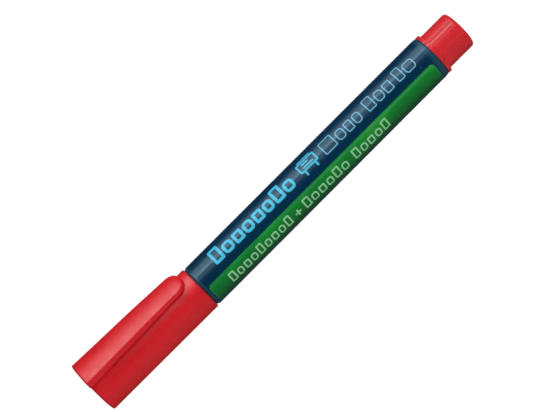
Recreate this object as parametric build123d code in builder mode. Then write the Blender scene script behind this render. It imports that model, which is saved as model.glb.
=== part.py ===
"""Refillable whiteboard marker with a bullet nib, standing on the flat end of its cap.

Frame: +Z runs along the marker's axis, from the closed end of the cap (z = 0) to the rear end
of the ink cartridge (z = overall_length). The clip points along -Y. All sizes are millimetres.
"""

import os

from build123d import *

os.makedirs("parts", exist_ok=True)

# ---------------------------------------------------------------- driving dimensions
overall_length = 137.1
body_radius = 6.6  # outside of the printed barrel
play = 0.02  # radial gap of a pressed joint, so that the two solids only just miss
seat_gap = 0.05  # gap between two faces that stop against each other

# cap
cap_length = 39.0
cap_closed_radius = 6.64  # the cap widens a little towards its mouth
cap_mouth_radius = 6.76
cap_wall = 1.05
cap_end_wall = 1.3
cap_seat_depth = 10.4  # length of the bore that slides over the front section
cap_seat_radius = 5.86
cap_end_round = 0.5
cap_mouth_round = 0.2

# clip: a blade with a flatter bend than the cap's, centred beyond the marker's axis
clip_root_length = 7.0
clip_bend_offset = -2.8  # along the clip's own direction
# outside of the blade along its middle: (height above the marker's axis, distance along the cap)
clip_profile = [
    (9.42, 0.0),
    (9.16, 8.0),
    (8.96, 17.0),
    (8.67, 26.0),
    (8.42, 32.0),
    (8.28, 34.4),
    (8.05, 35.7),
    (7.72, 36.5),
    (7.25, 37.0),
]
clip_underside_root = 7.75
clip_underside_middle = 7.45
clip_underside_tip = 7.1
clip_root_half_width = 5.0
clip_tip_half_width = 3.75
clip_neck_half_width = 3.2  # the block that joins the blade to the cap
clip_tip_corner = 3.5
clip_edge_round = 0.5
clip_bead_gap = 0.12  # between the bead under the tip and the cap
clip_bead_length = 2.4
clip_bead_half_width = 1.8

# soft seal inside the cap
seal_end = 27.4
seal_floor = 1.2
seal_lip_start = 23.4
seal_clearance = 0.05
seal_chamber_radius = 4.95

# front section
shoulder_radius = 6.28
shoulder_thickness = 0.35
neck_radius = 5.76
snap_bead_height = 0.06
snap_bead_z = 34.8
seal_land_radius = 4.65
seal_land_start = 22.6
seal_land_end = 27.8
nose_start = 13.6
nose_tip_radius = 2.8
nose_base_radius = 4.1
spigot_end = 52.0
front_cavity_radius = 3.0
rear_cavity_radius = 4.6

# nib and wick
nib_radius = 2.15
nib_start = 8.5
nib_bullet_length = 4.2
nib_point_radius = 0.75
nib_end = 21.5
wick_radius = 0.88
wick_socket_depth = 3.0

# ink collector
collector_core_radius = 2.0
collector_stub_radius = 2.75
fin_radius = 4.35
fin_thickness = 0.5
fin_pitch = 1.05
fin_count = 20
first_fin = 29.2
air_slot_width = 0.6
spike_radius = 1.6
spike_end = 58.6

# barrel and printed film
label_thickness = 0.08
barrel_bore_radius = 5.4
barrel_end = 126.4
barrel_end_round = 0.3
label_front_margin = 0.35  # the film stops short of both ends of the barrel
label_rear_margin = 0.9
guide_rib_count = 6
guide_rib_radius = 4.9
guide_rib_width = 0.9
guide_rib_start = 61.0
guide_rib_end = 113.0

# ink cartridge
cartridge_radius = 4.6
cartridge_wall = 0.7
cartridge_neck_radius = 2.9
cartridge_neck_bore = 2.2
cartridge_neck_start = 53.5
cartridge_neck_end = 57.0
cartridge_shoulder_end = 58.8
grommet_length = 2.2
grommet_flange_thickness = 0.6
grommet_clearance = 0.04
ball_radius = 1.75
ball_gap = 0.1

# rear plug, the coloured tail of the cartridge
flange_thickness = 1.05
flange_radius = 6.5
flange_front_chamfer = 0.15
flange_rear_chamfer = 0.65
post_radius = 5.78
post_end_round = 0.85
post_crown = 0.3
plug_skirt_start = 117.5
plug_skirt_clearance = 0.06
plug_stopper_length = 5.0
plug_wall = 1.3

# ---------------------------------------------------------------- derived dimensions
barrel_radius = body_radius - label_thickness - play
barrel_start = cap_length + seat_gap + shoulder_thickness
cap_seat_start = cap_length - cap_seat_depth
cap_bore_radius = body_radius - cap_wall
cap_weld_radius = body_radius - cap_wall / 2
clip_bead_radius = cap_mouth_radius + clip_bead_gap
clip_length = clip_profile[-1][1]
clip_root_height = clip_profile[0][0]
cartridge_bore_radius = cartridge_radius - cartridge_wall
cartridge_end = barrel_end + seat_gap
flange_start = barrel_end + seat_gap
flange_end = flange_start + flange_thickness

# the plane and the line that the clip's bend is centred on
bend_plane = Plane.XZ.offset(clip_bend_offset)
bend_axis = Axis((0, -clip_bend_offset, 0), (0, 0, 1))


# ---------------------------------------------------------------- cap with its clip
with BuildPart() as blade:
    # the blade along its length, bent round the clip's own centre line
    with BuildSketch(bend_plane):
        with BuildLine():
            closed_end = Line(
                (clip_underside_root - clip_bend_offset, 0),
                (clip_root_height - clip_bend_offset, 0),
            )
            top = Spline([(height - clip_bend_offset, z) for height, z in clip_profile])
            Polyline(
                top @ 1,
                (clip_underside_tip - clip_bend_offset, clip_length),
                (clip_underside_tip - clip_bend_offset, clip_length - 1.2),
                (clip_underside_middle - clip_bend_offset, clip_length - 3.4),
                closed_end @ 0,
            )
        make_face()
    revolve(axis=bend_axis)
    # the blade's outline, tapered towards a rounded tip
    with BuildSketch(Plane.XZ):
        with BuildLine():
            Polyline(
                (-clip_root_half_width, 0),
                (clip_root_half_width, 0),
                (clip_tip_half_width, clip_length),
                (-clip_tip_half_width, clip_length),
                close=True,
            )
        outline = make_face()
        fillet(outline.vertices().group_by(Axis.Y)[-1], clip_tip_corner)
    extrude(amount=2 * body_radius, mode=Mode.INTERSECT)
    outer_face = blade.faces().sort_by(Axis.Y).first
    fillet(outer_face.edges(), clip_edge_round)

with BuildPart() as cap_shell:
    with BuildSketch(Plane.XZ):
        with BuildLine():
            Polyline(
                (0, 0),
                (cap_closed_radius, 0),
                (cap_mouth_radius, cap_length),
                (cap_seat_radius, cap_length),
                (cap_seat_radius, cap_seat_start),
                (cap_bore_radius, cap_seat_start - 0.3),
                (cap_bore_radius, cap_end_wall),
                (0, cap_end_wall),
                close=True,
            )
        make_face()
    revolve(axis=Axis.Z)
    mouth_rims = cap_shell.edges().group_by(Axis.Z)[-1].sort_by(SortBy.RADIUS)
    fillet(mouth_rims.last, cap_mouth_round)
    chamfer(mouth_rims.first, cap_mouth_round)
    closed_rim = cap_shell.edges().group_by(Axis.Z)[0].sort_by(SortBy.RADIUS).last
    fillet(closed_rim, cap_end_round)
    # the block that joins the blade to the cap, from the cap's wall to the blade's underside
    with BuildSketch(Plane.XY):
        Rectangle(2 * clip_neck_half_width, clip_underside_root,
                  align=(Align.CENTER, Align.MAX))
        Circle(cap_weld_radius, mode=Mode.SUBTRACT)
    extrude(amount=clip_root_length)
    add(blade.part)
    # the bead under the blade's tip, which just clears the cap
    bead_end = clip_length - 0.5
    bead_start = bead_end - clip_bead_length
    with BuildSketch(Plane.YZ):
        Polygon(
            (-clip_bead_radius, bead_start + 0.9),
            (-clip_bead_radius, bead_end - 0.6),
            (-clip_underside_tip - 0.2, bead_end),
            (-clip_underside_middle - 0.05, bead_start),
            align=None,
        )
    extrude(amount=clip_bead_half_width, both=True)
cap_shell.part.label = "cap_shell"
export_step(cap_shell.part, "parts/cap_shell.step")

# soft cup inside the cap, which seals on the front section and keeps the nib moist
with BuildPart() as cap_seal:
    seal_start = cap_end_wall + play
    with BuildSketch(Plane.XZ):
        with BuildLine():
            Polyline(
                (0, seal_start),
                (cap_bore_radius - play, seal_start),
                (cap_bore_radius - play, seal_end),
                (seal_land_radius + seal_clearance + 0.4, seal_end),
                (seal_land_radius + seal_clearance, seal_end - 0.7),
                (seal_land_radius + seal_clearance, seal_lip_start),
                (seal_chamber_radius, seal_lip_start - 0.4),
                (seal_chamber_radius, seal_start + seal_floor),
                (0, seal_start + seal_floor),
                close=True,
            )
        make_face()
    revolve(axis=Axis.Z)
    chamfer(cap_seal.edges().group_by(Axis.Z)[0], 0.3)
cap_seal.part.label = "cap_seal"
export_step(cap_seal.part, "parts/cap_seal.step")


# ---------------------------------------------------------------- nib, wick and collector
with BuildPart() as nib:
    with BuildSketch(Plane.XZ):
        with BuildLine():
            point = Line((0, nib_start), (nib_point_radius, nib_start + 0.12))
            ogive = ThreePointArc(
                point @ 1,
                (nib_radius * 0.78, nib_start + nib_bullet_length * 0.42),
                (nib_radius, nib_start + nib_bullet_length),
            )
            Polyline(
                ogive @ 1,
                (nib_radius, nib_end),
                (wick_radius + play, nib_end),
                (wick_radius + play, nib_end - wick_socket_depth - 0.1),
                (0, nib_end - wick_socket_depth - 0.1),
                point @ 0,
            )
        make_face()
    revolve(axis=Axis.Z)
nib.part.label = "nib"
export_step(nib.part, "parts/nib.step")

with BuildPart() as wick:
    with Locations((0, 0, nib_end - wick_socket_depth)):
        Cylinder(wick_radius, spike_end - nib_end + wick_socket_depth,
                 align=(Align.CENTER, Align.CENTER, Align.MIN))
wick.part.label = "wick"
export_step(wick.part, "parts/wick.step")

with BuildPart() as collector:
    stub_start = nib_end + seat_gap
    with BuildSketch(Plane.XZ):
        with BuildLine():
            Polyline(
                (wick_radius + play, stub_start),
                (collector_stub_radius, stub_start),
                (collector_stub_radius, first_fin - 1.0),
                (collector_core_radius, first_fin - 0.4),
                (collector_core_radius, spigot_end - 0.8),
                (rear_cavity_radius - play, spigot_end - 0.8),
                (rear_cavity_radius - play, spigot_end + 0.4),
                (spike_radius, spigot_end + 0.4),
                (spike_radius, spike_end - 0.9),
                (wick_radius + 0.3, spike_end),
                (wick_radius + play, spike_end),
                close=True,
            )
        make_face()
    revolve(axis=Axis.Z)
    # thin discs that hold the ink between them
    with Locations([(0, 0, first_fin + i * fin_pitch) for i in range(fin_count)]):
        Cylinder(fin_radius, fin_thickness, align=(Align.CENTER, Align.CENTER, Align.MIN))
    # the bore for the wick, and the slot that lets air past the discs
    with BuildSketch(Plane.XY.offset(stub_start)):
        Circle(wick_radius + play)
    extrude(amount=spike_end, mode=Mode.SUBTRACT)
    with BuildSketch(Plane.XY.offset(first_fin)):
        with Locations((collector_core_radius - 0.2, 0)):
            Rectangle(fin_radius, air_slot_width, align=(Align.MIN, Align.CENTER))
    extrude(amount=fin_pitch * (fin_count - 1) + fin_thickness, mode=Mode.SUBTRACT)
collector.part.label = "collector"
export_step(collector.part, "parts/collector.step")


# ---------------------------------------------------------------- front section
with BuildPart() as front_section:
    with BuildSketch(Plane.XZ):
        with BuildLine():
            Polyline(
                (nib_radius + play, nose_start),
                (nose_tip_radius - 0.25, nose_start),
                (nose_tip_radius, nose_start + 0.3),
                (nose_base_radius, seal_land_start - 0.8),
                (seal_land_radius, seal_land_start),
                (seal_land_radius, seal_land_end),
                (neck_radius - 0.35, cap_seat_start - 0.2),
                (neck_radius, cap_seat_start + 0.5),
                (neck_radius, snap_bead_z - 0.8),
                (neck_radius + snap_bead_height, snap_bead_z - 0.25),
                (neck_radius + snap_bead_height, snap_bead_z + 0.25),
                (neck_radius, snap_bead_z + 0.8),
                (neck_radius, cap_length + seat_gap),
                (shoulder_radius, cap_length + seat_gap),
                (shoulder_radius, barrel_start),
                (barrel_bore_radius - play, barrel_start),
                (barrel_bore_radius - play, spigot_end - 0.3),
                (barrel_bore_radius - play - 0.25, spigot_end),
                (rear_cavity_radius, spigot_end),
                (rear_cavity_radius, first_fin - 0.5),
                (front_cavity_radius, seal_land_end - 0.8),
                (front_cavity_radius, nib_end),
                (nib_radius + play, nib_end - 0.6),
                close=True,
            )
        make_face()
    revolve(axis=Axis.Z)
front_section.part.label = "front_section"
export_step(front_section.part, "parts/front_section.step")


# ---------------------------------------------------------------- barrel and printed film
with BuildPart() as barrel:
    with BuildSketch(Plane.XY.offset(barrel_start)):
        Circle(barrel_radius)
        Circle(barrel_bore_radius, mode=Mode.SUBTRACT)
    extrude(amount=barrel_end - barrel_start)
    for rims in (barrel.edges().group_by(Axis.Z)[-1], barrel.edges().group_by(Axis.Z)[0]):
        fillet(rims.sort_by(SortBy.RADIUS).last, barrel_end_round)
    chamfer(barrel.edges().group_by(Axis.Z)[-1].sort_by(SortBy.RADIUS).first, 0.2)
    # ribs in the bore that keep the cartridge in the middle
    with BuildSketch(Plane.XY.offset(guide_rib_start)):
        with PolarLocations(guide_rib_radius, guide_rib_count):
            Rectangle(barrel_bore_radius - guide_rib_radius + 0.2, guide_rib_width,
                      align=(Align.MIN, Align.CENTER))
    extrude(amount=guide_rib_end - guide_rib_start)
barrel.part.label = "barrel"
export_step(barrel.part, "parts/barrel.step")

with BuildPart() as label_film:
    film_start = barrel_start + label_front_margin
    with BuildSketch(Plane.XY.offset(film_start)):
        Circle(body_radius)
        Circle(barrel_radius + play, mode=Mode.SUBTRACT)
    extrude(amount=barrel_end - label_rear_margin - film_start)
label_film.part.label = "label_film"
export_step(label_film.part, "parts/label_film.step")


# ---------------------------------------------------------------- ink cartridge
with BuildPart() as cartridge_tube:
    with BuildSketch(Plane.XZ):
        with BuildLine():
            Polyline(
                (cartridge_neck_bore, cartridge_neck_start),
                (cartridge_neck_radius - 0.3, cartridge_neck_start),
                (cartridge_neck_radius, cartridge_neck_start + 0.3),
                (cartridge_neck_radius, cartridge_neck_end),
                (cartridge_radius, cartridge_shoulder_end),
                (cartridge_radius, cartridge_end),
                (cartridge_bore_radius, cartridge_end),
                (cartridge_bore_radius, cartridge_shoulder_end + 0.2),
                (cartridge_neck_bore, cartridge_neck_end + 0.2),
                close=True,
            )
        make_face()
    revolve(axis=Axis.Z)
cartridge_tube.part.label = "cartridge_tube"
export_step(cartridge_tube.part, "parts/cartridge_tube.step")

# rubber ring in the cartridge's mouth, which grips the spike of the collector
with BuildPart() as grommet:
    with BuildSketch(Plane.XZ):
        with BuildLine():
            Polyline(
                (spike_radius + grommet_clearance, cartridge_neck_start + 0.1),
                (cartridge_neck_bore - play, cartridge_neck_start + 0.1),
                (cartridge_neck_bore - play, cartridge_neck_start + grommet_length),
                (spike_radius + grommet_clearance + 0.25, cartridge_neck_start + grommet_length),
                (spike_radius + grommet_clearance, cartridge_neck_start + grommet_length - 0.3),
                close=True,
            )
        make_face()
    revolve(axis=Axis.Z)
grommet.part.label = "grommet"
export_step(grommet.part, "parts/grommet.step")

# loose ball that closed the new cartridge and now mixes the ink
with BuildPart() as mixing_ball:
    with Locations((0, 0, spike_end + ball_gap + ball_radius)):
        Sphere(ball_radius)
mixing_ball.part.label = "mixing_ball"
export_step(mixing_ball.part, "parts/mixing_ball.step")

with BuildPart() as rear_plug:
    with BuildSketch(Plane.XZ):
        with BuildLine():
            end_arc = ThreePointArc(
                (0, overall_length),
                (post_radius / 2, overall_length - post_crown / 4),
                (post_radius, overall_length - post_crown),
            )
            Polyline(
                end_arc @ 1,
                (post_radius, flange_end),
                (flange_radius, flange_end),
                (flange_radius, flange_start),
                (barrel_bore_radius - plug_skirt_clearance, flange_start),
                (barrel_bore_radius - plug_skirt_clearance, plug_skirt_start + 0.3),
                (barrel_bore_radius - plug_skirt_clearance - 0.3, plug_skirt_start),
                (cartridge_radius + play, plug_skirt_start),
                (cartridge_radius + play, cartridge_end + play),
                (cartridge_bore_radius - play, cartridge_end + play),
                (cartridge_bore_radius - play, cartridge_end - plug_stopper_length),
                (cartridge_bore_radius - plug_wall, cartridge_end - plug_stopper_length),
                (cartridge_bore_radius - plug_wall, overall_length - 1.8),
                (0, overall_length - 1.8),
                end_arc @ 0,
            )
        profile = make_face()
        post_corner = profile.vertices().sort_by(Axis.Y)[-2]
        fillet(post_corner, post_end_round)
        flange_corners = profile.vertices().sort_by(Axis.X)[-2:].sort_by(Axis.Y)
        chamfer(flange_corners[0], flange_front_chamfer)
        chamfer(flange_corners[1], flange_rear_chamfer)
    revolve(axis=Axis.Z)
rear_plug.part.label = "rear_plug"
export_step(rear_plug.part, "parts/rear_plug.step")
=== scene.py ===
"""Looks for the whiteboard marker: materials, print, floor, light and camera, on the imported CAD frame."""

import math

import bpy
from mathutils import Matrix, Vector


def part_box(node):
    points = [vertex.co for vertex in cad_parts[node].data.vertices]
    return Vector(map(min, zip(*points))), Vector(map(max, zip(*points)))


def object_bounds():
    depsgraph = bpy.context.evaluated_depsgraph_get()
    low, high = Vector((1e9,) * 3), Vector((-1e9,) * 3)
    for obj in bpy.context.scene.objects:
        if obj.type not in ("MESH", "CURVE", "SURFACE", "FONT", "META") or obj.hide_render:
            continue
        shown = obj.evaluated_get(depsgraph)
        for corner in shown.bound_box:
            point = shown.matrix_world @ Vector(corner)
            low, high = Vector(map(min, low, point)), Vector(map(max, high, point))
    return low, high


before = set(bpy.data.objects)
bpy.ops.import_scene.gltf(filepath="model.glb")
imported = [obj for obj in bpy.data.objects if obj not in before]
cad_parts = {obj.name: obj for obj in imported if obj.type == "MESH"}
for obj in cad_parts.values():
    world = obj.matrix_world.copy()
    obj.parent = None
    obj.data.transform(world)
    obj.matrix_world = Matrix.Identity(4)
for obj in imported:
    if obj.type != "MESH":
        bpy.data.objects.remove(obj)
cad_lo, cad_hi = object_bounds()

MM = 0.001


def lin(r, g, b):
    """A display colour, 0 to 255, as linear values."""
    shares = (c / 255 for c in (r, g, b))
    return tuple(c / 12.92 if c <= 0.04045 else ((c + 0.055) / 1.055) ** 2.4 for c in shares) + (1.0,)


def shade(colour, share):
    """The same linear colour, darkened to this share."""
    return tuple(share * c for c in colour[:3]) + (1.0,)


# ---------------------------------------------------------------- node helpers
class Tree:
    """Builds a material's nodes from short calls. The functions below call their tree t."""

    def __init__(self, name):
        self.material = bpy.data.materials.new(name)
        self.material.use_nodes = True
        self.nodes = self.material.node_tree.nodes
        self.links = self.material.node_tree.links
        self.nodes.clear()
        self.out = self.nodes.new("ShaderNodeOutputMaterial")
        self.bsdf = self.nodes.new("ShaderNodeBsdfPrincipled")
        self.links.new(self.bsdf.outputs[0], self.out.inputs[0])
        self.coord = self.nodes.new("ShaderNodeTexCoord").outputs["Object"]

    def put(self, socket, value):
        """Link a node's output, or set a constant."""
        if isinstance(value, bpy.types.NodeSocket):
            self.links.new(value, socket)
        else:
            socket.default_value = value

    def math(self, op, a, b=0.0, c=None):
        """One step of arithmetic on numbers."""
        node = self.nodes.new("ShaderNodeMath")
        node.operation = op
        self.put(node.inputs[0], a)
        self.put(node.inputs[1], b)
        if c is not None:
            self.put(node.inputs[2], c)
        return node.outputs[0]

    def vec(self, op, a, b=(0, 0, 0)):
        """One step of arithmetic on vectors."""
        node = self.nodes.new("ShaderNodeVectorMath")
        node.operation = op
        self.put(node.inputs[0], a)
        if op not in ("ABSOLUTE", "LENGTH"):
            self.put(node.inputs[1], b)
        return node.outputs["Value" if op == "LENGTH" else "Vector"]

    def split(self, vector):
        """The three numbers in a vector or a colour."""
        node = self.nodes.new("ShaderNodeSeparateXYZ")
        self.put(node.inputs[0], vector)
        return node.outputs[0], node.outputs[1], node.outputs[2]

    def join(self, x, y, z=0.0):
        """A vector from its numbers."""
        node = self.nodes.new("ShaderNodeCombineXYZ")
        for socket, value in zip(node.inputs, (x, y, z)):
            self.put(socket, value)
        return node.outputs[0]

    def in_mm(self, at, stretch):
        """A place in mm, where a pattern is drawn out along an axis whose stretch is below 1."""
        return self.vec("MULTIPLY", at, tuple(share / MM for share in stretch))

    def noise(self, scale, detail=3.0, rough=0.5, at=None, stretch=(1, 1, 1)):
        """Noise with scale in cycles per millimetre."""
        node = self.nodes.new("ShaderNodeTexNoise")
        self.put(node.inputs["Vector"], self.in_mm(at or self.coord, stretch))
        node.inputs["Scale"].default_value = scale
        node.inputs["Detail"].default_value = detail
        node.inputs["Roughness"].default_value = rough
        return node.outputs["Fac"]

    def cells(self, scale, stretch=(1, 1, 1)):
        """Distance to the nearest of scattered points, with scale in cycles per millimetre."""
        node = self.nodes.new("ShaderNodeTexVoronoi")
        self.put(node.inputs["Vector"], self.in_mm(self.coord, stretch))
        node.inputs["Scale"].default_value = scale
        return node.outputs["Distance"]

    def ramp(self, fac, lo, hi, out_lo=0.0, out_hi=1.0, smooth=True):
        """Map lo..hi to out_lo..out_hi, clamped at both ends."""
        node = self.nodes.new("ShaderNodeMapRange")
        node.interpolation_type = "SMOOTHSTEP" if smooth else "LINEAR"
        self.put(node.inputs["Value"], fac)
        for name, value in (("From Min", lo), ("From Max", hi), ("To Min", out_lo), ("To Max", out_hi)):
            self.put(node.inputs[name], value)
        return node.outputs[0]

    def mix(self, fac, a, b, blend="MIX"):
        """Mix two colours, which this node takes on its sockets 6 and 7 and gives on its output 2."""
        node = self.nodes.new("ShaderNodeMix")
        node.data_type = "RGBA"
        node.blend_type = blend
        self.put(node.inputs[0], fac)
        self.put(node.inputs[6], a)
        self.put(node.inputs[7], b)
        return node.outputs[2]

    def bump(self, height, strength, distance_mm, under=None):
        """Tilt the normal by a height, on top of the bump under it."""
        node = self.nodes.new("ShaderNodeBump")
        node.inputs["Strength"].default_value = strength
        node.inputs["Distance"].default_value = distance_mm * MM
        self.put(node.inputs["Height"], height)
        if under is not None:
            self.put(node.inputs["Normal"], under)
        return node.outputs[0]

    def surface(self, **sockets):
        """Set the shader's sockets, with _ for each space in a name, and give the finished material."""
        for name, value in sockets.items():
            self.put(self.bsdf.inputs[name.replace("_", " ")], value)
        return self.material


# ---------------------------------------------------------------- the view, which the print is laid out from
VIEW_AZIMUTH = 50.0  # degrees from the clip's side, so the clip shows at the left of an upright marker
azimuth = math.radians(VIEW_AZIMUTH)
toward = Vector((math.sin(azimuth), -math.cos(azimuth), 0))
rightward = Vector((math.cos(azimuth), math.sin(azimuth), 0))

# places along the marker, and the film's radius, in millimetres
cap_lo, cap_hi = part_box("cap_shell")
film_lo, film_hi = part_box("label_film")
_, plug_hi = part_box("rear_plug")
cap_end_z, cap_mouth_z, plug_end_z = cap_lo.z / MM, cap_hi.z / MM, plug_hi.z / MM
film_start, film_end, film_radius = film_lo.z / MM, film_hi.z / MM, film_hi.x / MM
flange_z = film_end + 0.95  # the rear plug's wider part starts just behind the film


def around(t):
    """Object coordinates as (along in mm, round the barrel in mm from the line that faces the camera, 0)."""
    x, y, z = t.split(t.coord)
    side = t.math("ADD", t.math("MULTIPLY", x, rightward.x), t.math("MULTIPLY", y, rightward.y))
    front = t.math("ADD", t.math("MULTIPLY", x, toward.x), t.math("MULTIPLY", y, toward.y))
    arc = t.math("MULTIPLY", t.math("ARCTAN2", side, front), film_radius)
    return t.join(t.math("MULTIPLY", z, 1 / MM), arc)


def boxes(t, at, items, corner):
    """Distance in mm to the nearest of several rounded boxes, each (start, end, low, high)."""
    nearest = None
    for start, end, low, high in items:
        centre = ((start + end) / 2, (low + high) / 2, 0)
        half = ((end - start) / 2 - corner, (high - low) / 2 - corner, 0)
        past = t.vec("SUBTRACT", t.vec("ABSOLUTE", t.vec("SUBTRACT", at, centre)), half)
        past_along, past_round, _ = t.split(past)
        inside = t.math("MINIMUM", t.math("MAXIMUM", past_along, past_round), 0.0)
        distance = t.math("ADD", t.vec("LENGTH", t.vec("MAXIMUM", past, (0, 0, 0))), inside)
        nearest = distance if nearest is None else t.math("MINIMUM", nearest, distance)
    return t.math("SUBTRACT", nearest, corner)


def frames(t, at, items, corner, stroke):
    """Distance in mm to the outline of rounded boxes; the outline is stroke wide and lies inside each box."""
    inset = stroke / 2
    inner = [(start + inset, end - inset, low + inset, high - inset) for start, end, low, high in items]
    line = t.math("ABSOLUTE", boxes(t, at, inner, corner - inset))
    return t.math("SUBTRACT", line, inset)


def shape_row(t, at, shapes, foot, stroke):
    """Distance in mm to a row of rounded outlines that all stand on one line.

    Each shape is (start, end, height, corner). A stepped ramp looks the shape up from the place along the
    row, so a row costs only a few nodes.
    """
    along, arc, _ = t.split(at)
    margin = 0.3
    first, last = shapes[0][0] - margin, shapes[-1][1] + margin
    widest, highest = 20, 10  # mm that a full value in the ramp stands for
    table = t.nodes.new("ShaderNodeValToRGB")
    table.color_ramp.interpolation = "CONSTANT"
    steps = table.color_ramp.elements
    steps.remove(steps[1])
    for i, (start, end, height, corner) in enumerate(shapes):
        begin = 0.0 if i == 0 else ((shapes[i - 1][1] + start) / 2 - first) / (last - first)
        step = steps[0] if i == 0 else steps.new(begin)
        step.position = begin
        place = ((start + end) / 2 - first) / (last - first)
        step.color = (place, (end - start) / widest, height / highest, corner - stroke / 2)
    t.put(table.inputs[0], t.math("MULTIPLY", t.math("SUBTRACT", along, first), 1 / (last - first)))
    place, width, height = t.split(table.outputs["Color"])
    corner = table.outputs["Alpha"]
    inset = t.math("ADD", corner, stroke / 2)
    middle = t.math("MULTIPLY_ADD", place, last - first, first)
    raised = t.math("MULTIPLY_ADD", height, -highest / 2, foot)
    past_along = t.math("ABSOLUTE", t.math("SUBTRACT", along, middle))
    past_along = t.math("SUBTRACT", past_along, t.math("MULTIPLY", width, widest / 2))
    past_along = t.math("ADD", past_along, inset)
    past_round = t.math("ABSOLUTE", t.math("SUBTRACT", arc, raised))
    past_round = t.math("SUBTRACT", past_round, t.math("MULTIPLY", height, highest / 2))
    past_round = t.math("ADD", past_round, inset)
    outside = t.vec("LENGTH", t.vec("MAXIMUM", t.join(past_along, past_round), (0, 0, 0)))
    inside = t.math("MINIMUM", t.math("MAXIMUM", past_along, past_round), 0.0)
    edge = t.math("SUBTRACT", t.math("ADD", outside, inside), corner)
    return t.math("SUBTRACT", t.math("ABSOLUTE", edge), stroke / 2)


def inked(t, distance, soft=0.05):
    """1 where the distance is below 0, with a slightly soft edge."""
    return t.ramp(distance, soft, -soft)


def scuffs(t, scale=0.5):
    """Fine rubbed lines that run mostly along the marker, 0 to 1."""
    fine = t.noise(scale * 9, 2, 0.6, stretch=(1, 1, 0.12))
    patch = t.noise(scale * 0.35, 2, 0.5)
    return t.math("MULTIPLY", t.ramp(fine, 0.60, 0.70), t.ramp(patch, 0.48, 0.68))


# ---------------------------------------------------------------- materials
def moulded(name, colour, rough, deep, gloss, end_marks, seam=None):
    """Glossy moulded polypropylene: fine skin, faint flow streaks, rubbed spots, and darker rims that are
    painted shade.

    The rims are at end_marks, in mm along the marker, and the gate's mark is on the first of them. The seam
    is the angle of the mould's parting line, in degrees from the line that faces the camera.
    """
    t = Tree(name)
    x, y, z = t.split(t.coord)
    along = t.math("MULTIPLY", z, 1 / MM)
    cloud = t.noise(0.12, 3, 0.55)
    streak = t.noise(1.1, 3, 0.6, stretch=(1, 1, 0.05))
    tone = t.math("ADD", t.math("MULTIPLY", cloud, 0.5), t.math("MULTIPLY", streak, 0.5))
    base = t.mix(t.ramp(tone, 0.35, 0.65), deep, colour)
    rub = scuffs(t)
    # painted shade on the rims, but not the middle of an end face
    painted_edge_mask = None
    for mark in end_marks:
        near = t.ramp(t.math("ABSOLUTE", t.math("SUBTRACT", along, mark)), 0.85, 0.35)
        painted_edge_mask = near if painted_edge_mask is None else t.math("MAXIMUM", painted_edge_mask, near)
    out = t.math("MULTIPLY", t.vec("LENGTH", t.join(x, y)), 1 / MM)
    side = t.ramp(out, 4.3, 4.9)
    # painted shade: the sides darkened next to the rims
    dark = shade(deep, 0.5)
    base = t.mix(t.math("MULTIPLY", t.math("MULTIPLY", painted_edge_mask, side), 0.15), base, dark)
    roughness = t.ramp(t.noise(0.3, 3, 0.6), 0.3, 0.7, rough - 0.04, rough + 0.05)
    roughness = t.math("ADD", roughness, t.math("MULTIPLY", rub, 0.16))
    if seam is not None:
        # the mould's parting line, on both sides
        angle = azimuth + math.radians(seam)
        off_x = t.math("MULTIPLY", x, math.cos(angle) / MM)
        off = t.math("ADD", off_x, t.math("MULTIPLY", y, math.sin(angle) / MM))
        parting = t.math("MULTIPLY", t.ramp(t.math("ABSOLUTE", off), 0.42, 0.12), side)
        faint = t.math("MULTIPLY", parting, 0.35)
        base = t.mix(faint, base, dark)
        roughness = t.math("ADD", roughness, faint)
    pale = t.mix(0.35, colour, lin(255, 190, 185))
    base = t.mix(t.math("MULTIPLY", rub, 0.12), base, pale)
    skin = t.bump(t.noise(3.2, 4, 0.6), 0.10, 0.02)
    skin = t.bump(streak, 0.10, 0.02, skin)
    skin = t.bump(rub, 0.10, 0.01, skin)
    # the gate's mark, a small raised ring at the middle of the closed end
    ring = t.ramp(t.math("ABSOLUTE", t.math("SUBTRACT", out, 1.1)), 0.32, 0.12)
    nub = t.math("MAXIMUM", ring, t.ramp(out, 0.45, 0.30))
    at_end = t.ramp(t.math("ABSOLUTE", t.math("SUBTRACT", along, end_marks[0])), 0.7, 0.5)
    skin = t.bump(t.math("MULTIPLY", nub, at_end), 0.8, 0.10, skin)
    return t.surface(Base_Color=base, Roughness=roughness, Normal=skin, IOR=1.5, Specular_IOR_Level=gloss,
                     Subsurface_Weight=0.06, Subsurface_Radius=(0.9, 0.25, 0.2), Subsurface_Scale=0.0012)


cap_red = moulded(
    "cap_red", lin(208, 26, 36), rough=0.38, deep=lin(198, 21, 31), gloss=1.15,
    end_marks=(cap_end_z, cap_mouth_z),
)
plug_red = moulded(
    "plug_red", lin(203, 42, 49), rough=0.16, deep=lin(194, 37, 44), gloss=0.52,
    end_marks=(plug_end_z, flange_z), seam=-31.7,
)
BLUE_GLOSS = {"IOR": 1.5, "Specular_Tint": (0.52, 0.84, 1.0, 1.0)}  # cool, on film and barrel


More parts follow.
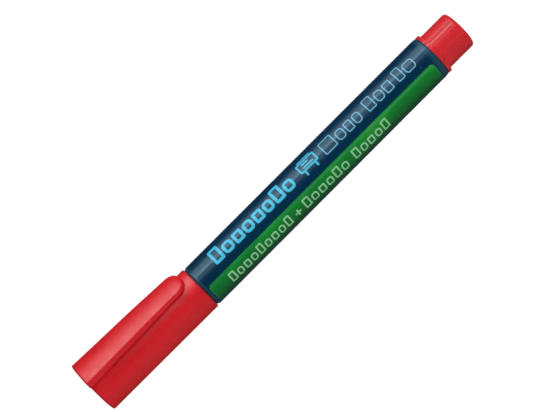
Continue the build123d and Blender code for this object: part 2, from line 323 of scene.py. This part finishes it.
# the printed film: places are in mm, along the marker and round it from the line that faces the camera
def film_ground(t, at):
    """The film's colours without the print: dark blue, and the green band with its thin pale rim."""
    along, arc, _ = t.split(at)
    # the blue, a little greener beside the band, and paler at both ends of the film: a painted highlight on
    # the film's edges
    rearward = t.ramp(along, film_start, film_end, smooth=False)
    blue = t.mix(rearward, lin(1, 40, 66), lin(1, 40, 68))
    blue = t.mix(t.ramp(arc, 0.3, 1.2, 0.0, 0.6), blue, lin(1, 46, 50))
    rear_end = t.ramp(along, film_end - 1.2, film_end - 0.3)
    painted_edge_mask = t.math("MAXIMUM", rear_end, t.ramp(along, film_start + 0.6, film_start + 0.1))
    # painted highlight: the blue lighter at the film's front and rear ends
    blue = t.mix(t.math("MULTIPLY", painted_edge_mask, 0.9), blue, lin(20, 61, 80))
    # the green, with slanted tone bands, painted shade that darkens it downwards, and a pale streak near its
    # upper edge
    green = t.mix(rearward, lin(2, 130, 36), lin(12, 139, 34))
    slant = t.math("ADD", along, t.math("MULTIPLY", arc, 1.1))
    sweep = t.noise(0.055, 2, 0.45, at=t.vec("MULTIPLY", t.join(slant, arc), (MM, 0.6 * MM, 0)))
    green = t.mix(t.ramp(sweep, 0.45, 0.55), t.mix(1.0, green, (0.30, 0.76, 0.95, 1), "MULTIPLY"), green)
    green = t.mix(t.ramp(sweep, 0.53, 0.66, 0.0, 0.55), green, lin(50, 142, 38))
    # painted shade: the green darkens round the barrel, away from the band's upper edge
    green = t.mix(t.ramp(arc, 2.2, 7.7, 0.0, 0.95, smooth=False), green, lin(2, 52, 12))
    streak = t.ramp(t.math("ABSOLUTE", t.math("SUBTRACT", arc, 1.95)), 0.65, 0.1)
    green = t.mix(t.math("MULTIPLY", streak, t.ramp(rearward, 0.0, 1.0, 0.12, 0.42)), green, lin(66, 150, 88))
    band = boxes(t, at, [(film_start + 0.7, film_end - 1.23, 1.31, 7.9)], corner=1.1)
    ground = t.mix(inked(t, band), blue, green)
    rim_half = 0.14
    rim = t.math("SUBTRACT", t.math("ABSOLUTE", t.math("ADD", band, rim_half)), rim_half)
    return t.mix(t.math("MULTIPLY", inked(t, rim, soft=0.10), 0.3), ground, lin(30, 140, 92))


def first_row(t, at):
    """Inks of the first row: heavy squares and rounds, a board on its easel, and light ones."""
    foot = -1.07
    square, pill = 0.50, 1.15
    heavy_row = [
        (46.3, 49.6, 4.9, square), (50.2, 53.5, 3.4, pill), (54.1, 57.2, 3.4, square),
        (57.8, 61.0, 3.4, pill), (61.6, 64.7, 3.4, square), (65.3, 68.4, 3.4, pill),
        (69.0, 72.3, 4.9, square), (72.9, 76.2, 3.4, pill),
    ]
    heavy_ink = inked(t, shape_row(t, at, heavy_row, foot, stroke=0.82), soft=0.07)
    board_line = frames(t, at, [(78.9, 85.3, -5.3, -2.1)], corner=0.5, stroke=0.5)
    easel = [
        (79.8, 84.4, -5.95, -5.5), (79.9, 80.5, -2.1, -0.75), (83.7, 84.3, -2.1, -0.75),
        (80.4, 82.8, -4.45, -3.95), (80.4, 83.9, -3.4, -2.95),
    ]
    board_ink = t.math("MAXIMUM", inked(t, board_line), inked(t, boxes(t, at, easel, corner=0.16)))
    square, pill = 0.35, 0.95
    light_row = [
        (87.3, 91.6, 4.2, square),
        (92.5, 95.1, 3.2, pill), (95.8, 98.1, 3.2, square), (98.8, 101.2, 3.2, pill),
        (103.4, 106.2, 4.2, square), (107.0, 109.6, 3.2, pill), (110.3, 112.9, 3.2, square),
        (114.6, 117.0, 4.2, square), (117.7, 121.2, 3.2, pill),
    ]
    light_ink = inked(t, shape_row(t, at, light_row, foot, stroke=0.30), soft=0.07)
    return heavy_ink, board_ink, light_ink


def second_row(t, at):
    """Ink of the second row: three groups of small squares and rounds, and a plus sign after the first."""
    square, pill = 0.33, 0.80
    low, tall, gap = 2.55, 3.36, 0.65
    small_row = []
    for first, last, count in ((46.3, 68.8, 9), (73.8, 90.0, 6), (92.3, 105.2, 5)):
        pitch = (last - first + gap) / count
        for i in range(count):
            start = first + pitch * i
            height = tall if i % 4 == 0 else low
            small_row.append((start, start + pitch - gap, height, pill if i % 2 else square))
    plus = [(70.35, 72.45, 4.42, 4.92), (71.15, 71.65, 3.6, 5.75)]
    row = shape_row(t, at, small_row, foot=6.02, stroke=0.46)
    return inked(t, t.math("MINIMUM", row, boxes(t, at, plus, corner=0.1)), soft=0.08)


def far_signs(t, at):
    """Ink on the far side: a fine row, three boards with a stroke each, and three ruled lines."""
    fine_starts = [52.0 + 2.6 * i + (4 if i > 8 else 0) for i in range(18)]
    fine_row = [(start, start + 2.0, 1.9, 0.7 if i % 3 == 1 else 0.3) for i, start in enumerate(fine_starts)]
    board_starts = (58.0, 67.0, 76.0)
    boards = [(start, start + 6.0, -16.2, -12.2) for start in board_starts]
    strokes = [(start + 1.3, start + 4.7, -14.5, -13.9) for start in board_starts]
    rules = [(88.0, 118.0, -15.3, -15.0), (88.0, 112.0, -14.2, -13.9), (88.0, 116.0, -13.1, -12.8)]
    ink = inked(t, frames(t, at, boards, corner=0.5, stroke=0.32))
    lines = boxes(t, at, strokes + rules, corner=0.14)
    row = shape_row(t, at, fine_row, foot=15.4, stroke=0.30)
    for distance in (lines, row):
        ink = t.math("MAXIMUM", ink, inked(t, distance))
    return ink


def printed_film():
    """The barrel's printed film: dark blue, a green band, and rows of plain squares and rounds."""
    t = Tree("label_print")
    at = around(t)
    heavy_ink, board_ink, light_ink = first_row(t, at)
    small_ink, far_ink = second_row(t, at), far_signs(t, at)
    # ink on the film, thinned a little by rubbing
    specks = t.ramp(t.noise(2.4, 4, 0.65), 0.60, 0.78)
    wear = t.math("MULTIPLY", specks, t.ramp(t.noise(0.1, 2, 0.5), 0.45, 0.65))
    hold = t.math("SUBTRACT", 1.0, t.math("MULTIPLY", wear, 0.55))
    colour = film_ground(t, at)
    for ink, cover, tint in (
        (heavy_ink, 1.0, lin(56, 174, 206)),
        (board_ink, 1.0, lin(58, 170, 204)),
        (light_ink, 0.75, lin(120, 190, 222)),
        (small_ink, 0.72, lin(158, 216, 164)),
        (far_ink, 0.8, lin(150, 196, 214)),
    ):
        colour = t.mix(t.math("MULTIPLY", ink, t.math("MULTIPLY", hold, cover)), colour, tint)
    # the printing screen and rubbing, and the heavier inks' edges in the gloss
    dots = t.ramp(t.cells(5.5), 0.0, 0.6, 0.97, 1.03, smooth=False)
    colour = t.mix(1.0, colour, t.join(dots, dots, dots), "MULTIPLY")
    rub = scuffs(t, 0.6)
    colour = t.mix(t.math("MULTIPLY", rub, 0.10), colour, lin(150, 165, 175))
    thick = t.math("MAXIMUM", t.math("MAXIMUM", heavy_ink, board_ink), t.math("MAXIMUM", small_ink, far_ink))
    roughness = t.ramp(t.noise(0.25, 3, 0.6), 0.3, 0.7, 0.17, 0.23)
    roughness = t.math("ADD", roughness, t.math("MULTIPLY", rub, 0.18))
    roughness = t.math("ADD", roughness, t.math("MULTIPLY", thick, 0.06))
    skin = t.bump(t.noise(1.6, 3, 0.5), 0.12, 0.02)
    skin = t.bump(thick, 0.25, 0.012, skin)
    skin = t.bump(rub, 0.15, 0.008, skin)
    return t.surface(Base_Color=colour, Roughness=roughness, Normal=skin,
                     Specular_IOR_Level=0.99, **BLUE_GLOSS)


def satin(name, colour, rough, grain_mm=0.015, ink=None, stained=0.0, **more):
    """Plain moulded plastic with a fine grain, and ink stains of the given strength."""
    t = Tree(name)
    cloud = t.noise(0.2, 3, 0.55)
    base = t.mix(t.ramp(cloud, 0.3, 0.7), shade(colour, 0.86), colour)
    if ink is not None:
        spots = t.ramp(t.noise(0.28, 4, 0.65, stretch=(1, 1, 0.4)), 0.44, 0.60)
        base = t.mix(t.math("MULTIPLY", spots, stained), base, ink)
    rub = scuffs(t, 0.8)
    base = t.mix(t.math("MULTIPLY", rub, 0.10), base, lin(200, 200, 200))
    skin = t.bump(t.noise(3.5, 4, 0.6), 0.2, grain_mm)
    roughness = t.ramp(t.noise(0.5, 3, 0.6), 0.3, 0.7, rough - 0.06, rough + 0.06)
    roughness = t.math("ADD", roughness, t.math("MULTIPLY", rub, 0.12))
    return t.surface(Base_Color=base, Roughness=roughness, Normal=skin, **more)


def fibre(name, dry, wet):
    """Bonded fibres that run along the marker, soaked unevenly with ink."""
    t = Tree(name)
    strands = t.noise(7.0, 4, 0.65, stretch=(1, 1, 0.07))
    tufts = t.noise(2.2, 4, 0.7, stretch=(1, 1, 0.35))
    soak = t.math("ADD", t.math("MULTIPLY", strands, 0.5), t.math("MULTIPLY", tufts, 0.5))
    base = t.mix(t.ramp(soak, 0.36, 0.62), dry, wet)
    base = t.mix(t.math("MULTIPLY", t.ramp(strands, 0.58, 0.72), 0.35), base, lin(232, 120, 116))
    skin = t.bump(strands, 0.7, 0.06)
    skin = t.bump(tufts, 0.4, 0.08, skin)
    return t.surface(Base_Color=base, Roughness=t.ramp(soak, 0.3, 0.7, 0.95, 0.72), Normal=skin,
                     Sheen_Weight=0.25, Sheen_Roughness=0.5, IOR=1.4)


def clear_tube():
    """Clear moulded tube with red ink behind it, fuller towards the nib, and droplets on its wall."""
    t = Tree("cartridge_clear")
    _, _, z = t.split(t.coord)
    film = t.noise(0.5, 3, 0.5, stretch=(1, 1, 0.06))
    drops = t.ramp(t.cells(0.75, stretch=(1, 1, 0.7)), 0.26, 0.16)
    drops = t.math("MULTIPLY", drops, t.ramp(t.noise(0.22, 2, 0.5), 0.50, 0.62))
    foot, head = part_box("cartridge_tube")
    full = t.ramp(t.math("ADD", z, t.math("MULTIPLY", film, 0.006)), head.z, foot.z, 0.10, 0.62, smooth=False)
    base = t.mix(full, lin(238, 226, 220), lin(206, 66, 66))
    base = t.mix(t.math("MULTIPLY", t.ramp(film, 0.45, 0.65), 0.22), base, lin(206, 60, 62))
    base = t.mix(t.math("MULTIPLY", drops, 0.70), base, lin(196, 30, 38))
    skin = t.bump(t.noise(0.9, 3, 0.5, stretch=(1, 1, 0.2)), 0.12, 0.02)
    skin = t.bump(drops, 0.35, 0.05, skin)
    return t.surface(Base_Color=base, Roughness=t.ramp(film, 0.3, 0.7, 0.12, 0.24), Normal=skin,
                     Transmission_Weight=0.62, IOR=1.49)


def steel_ball():
    """Polished steel, smeared with ink."""
    t = Tree("ball_steel")
    smear = t.ramp(t.noise(0.7, 4, 0.6), 0.52, 0.68)
    base = t.mix(t.math("MULTIPLY", smear, 0.8), lin(196, 197, 200), lin(150, 34, 40))
    skin = t.bump(t.noise(4.0, 3, 0.6), 0.12, 0.01)
    return t.surface(Base_Color=base, Roughness=t.ramp(smear, 0, 1, 0.12, 0.34), Normal=skin,
                     Metallic=t.ramp(smear, 0, 1, 1.0, 0.35))


red_ink = lin(176, 26, 34)
looks = {
    "cap_shell": cap_red,
    "rear_plug": plug_red,
    "label_film": printed_film(),
    # the barrel's own dark blue, made lighter than the film's as a painted highlight where its edges show at
    # the film's ends
    "barrel": satin("barrel_blue", lin(24, 66, 88), 0.30, Specular_IOR_Level=0.9, **BLUE_GLOSS),
    "front_section": satin("holder_dark", lin(34, 40, 48), 0.42, ink=lin(84, 14, 20), stained=0.14, IOR=1.5),
    "cap_seal": satin("seal_natural", lin(226, 224, 214), 0.48, ink=red_ink, stained=0.16, IOR=1.5,
                      Subsurface_Weight=0.3, Subsurface_Radius=(1.0, 0.9, 0.8), Subsurface_Scale=0.0015),
    "nib": fibre("nib_felt", lin(206, 58, 62), lin(150, 20, 28)),
    "wick": fibre("wick_fibre", lin(214, 84, 84), lin(168, 30, 36)),
    "collector": satin("collector_plastic", lin(222, 218, 208), 0.4, ink=red_ink, stained=0.85, IOR=1.5),
    "cartridge_tube": clear_tube(),
    "grommet": satin("grommet_rubber", lin(34, 34, 35), 0.72, grain_mm=0.03,
                     ink=lin(80, 16, 20), stained=0.5),
    "mixing_ball": steel_ball(),
}
for node, material in looks.items():
    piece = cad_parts[node]
    if not piece.material_slots:
        piece.data.materials.append(material)
    for place in piece.material_slots:
        place.material = material


# ---------------------------------------------------------------- floor, light and camera
scene = bpy.context.scene
scene.view_settings.view_transform = "Standard"


def choice(nodes, links, fac, shader_a, shader_b):
    """Output of a mix of two shaders."""
    mix = nodes.new("ShaderNodeMixShader")
    for socket, source in zip(mix.inputs, (fac, shader_a, shader_b)):
        links.new(source, socket)
    return mix.outputs[0]


def floor_pale():
    """Pale and glowing from above, and clear from below, so the underside can be looked at."""
    t = Tree("floor_pale")
    pale = (0.93, 0.93, 0.93, 1.0)
    drift = t.noise(0.004, 2, 0.4)
    base = t.mix(t.ramp(drift, 0.3, 0.7), shade(pale, 0.985), pale)
    t.surface(Base_Color=base, Roughness=0.9, Emission_Color=(1, 1, 1, 1), Emission_Strength=0.72)
    clear = t.nodes.new("ShaderNodeBsdfTransparent").outputs[0]
    below = t.nodes.new("ShaderNodeNewGeometry").outputs["Backfacing"]
    t.put(t.out.inputs[0], choice(t.nodes, t.links, below, t.bsdf.outputs[0], clear))
    return t.material


FLOOR_HALF = 0.24
FLOOR_DROP = 0.0455  # the cap, pulled off, stays above the floor
corners = [(x * FLOOR_HALF, y * FLOOR_HALF, 0) for x, y in ((-1, -1), (1, -1), (1, 1), (-1, 1))]
floor_mesh = bpy.data.meshes.new("floor")
floor_mesh.from_pydata(corners, [], [(0, 1, 2, 3)])
floor_mesh.materials.append(floor_pale())
floor = bpy.data.objects.new("floor", floor_mesh)
floor.location.z = cad_lo.z - FLOOR_DROP
floor.visible_glossy = floor.visible_diffuse = floor.visible_shadow = False
scene.collection.objects.link(floor)

# the room: white to look at, and dark to the surfaces, as black flags make it
DARK_GLOW, WHITE_GLOW = 0.03, 1.06
world = bpy.data.worlds.new("studio")
scene.world = world
world.use_nodes = True
room, room_links = world.node_tree.nodes, world.node_tree.links
room.clear()
shells = []
for strength in (DARK_GLOW, WHITE_GLOW):
    shell = room.new("ShaderNodeBackground")
    shell.inputs["Color"].default_value, shell.inputs["Strength"].default_value = (1, 1, 1, 1), strength
    shells.append(shell.outputs[0])
seen = room.new("ShaderNodeLightPath").outputs["Is Camera Ray"]
room_links.new(choice(room, room_links, seen, *shells), room.new("ShaderNodeOutputWorld").inputs[0])


def lamp(name, place, turned, wide, tall, energy, gloss):
    """An area light; without gloss it shows only as shading."""
    data = bpy.data.lights.new(name, "AREA")
    data.shape, data.size, data.size_y, data.energy = "RECTANGLE", wide, tall, energy
    data.cycles.use_multiple_importance_sampling = gloss
    light = bpy.data.objects.new(name, data)
    light.rotation_mode = "QUATERNION"
    light.location, light.rotation_quaternion = place, turned
    light.visible_glossy = gloss
    scene.collection.objects.link(light)


def panel(name, turn, spread, glow, height, away, tall, gloss):
    """A soft upright panel; turn, to the right of the camera's direction, and spread are in degrees."""
    angle = azimuth + math.radians(turn)
    out = Vector((math.sin(angle), -math.cos(angle), 0))
    wide = 2 * away * math.tan(math.radians(spread))
    place = out * away + Vector((0, 0, height))
    lamp(name, place, out.to_track_quat("Z", "Y"), wide, tall, math.pi * wide * tall * glow, gloss)


# the softbox at the left, strip by strip, with a brighter core, a weak bounce at the right, and a softbox
# behind, for the far side: all of them show in the gloss
for first, last, glow in (
    (-104, -92, 0.19), (-92, -84, 0.42), (-84, -70, 1.38), (-70, -58, 1.65), (-58, -45, 2.85),
    (-44, -38, 0.26), (-38, -28, 0.97), (-28, -16, 0.15),
    (20, 50, 0.10), (50, 110, 0.14), (110, 140, 0.05),
    (162, 172, 0.90), (172, 184, 2.60), (184, 202, 1.40),
):
    turn, spread = (first + last) / 2, (last - first) / 2
    panel("strip", turn, spread, glow, height=0.10, away=0.60, tall=0.44, gloss=True)
# large diffusers, which show only as shading
for name, turn, spread, glow in (
    ("fill_left", -80.0, 15.0, 4.68),
    ("fill_front", 10.0, 15.0, 5.15),
    ("fill_right", 66.0, 15.0, 1.95),
    ("fill_back", 168.0, 28.0, 3.3),
):
    panel(name, turn, spread, glow, height=0.12, away=0.90, tall=0.80, gloss=False)
lamp("fill_top", place=(0, 0, 1.20), turned=(1, 0, 0, 0), wide=0.2, tall=0.2, energy=6.0, gloss=False)

# the camera stands in front of the print, rolled so that the marker slants: metres, and degrees of roll
CAMERA_REACH, CAMERA_HEIGHT = 0.590, 0.04496
AIM_HEIGHT, AIM_LEFT = 0.06833, 0.001335
CAMERA_ROLL = 44.95
camera_data = bpy.data.cameras.new("camera")
camera_data.sensor_width, camera_data.lens = 36.0, 144.93
camera_data.clip_start, camera_data.clip_end = 0.05, 30.0
camera = bpy.data.objects.new("camera", camera_data)
scene.collection.objects.link(camera)
scene.camera = camera
camera.location = toward * CAMERA_REACH + Vector((0, 0, CAMERA_HEIGHT))
aim = Vector((0, 0, AIM_HEIGHT)) - rightward * AIM_LEFT
backward = (camera.location - aim).normalized()
level = Vector((0, 0, 1)).cross(backward).normalized()
upright = backward.cross(level)
roll = math.radians(CAMERA_ROLL)
right = level * math.cos(roll) + upright * math.sin(roll)
up = upright * math.cos(roll) - level * math.sin(roll)
camera.rotation_mode = "QUATERNION"
camera.rotation_quaternion = Matrix((right, up, backward)).transposed().to_quaternion()
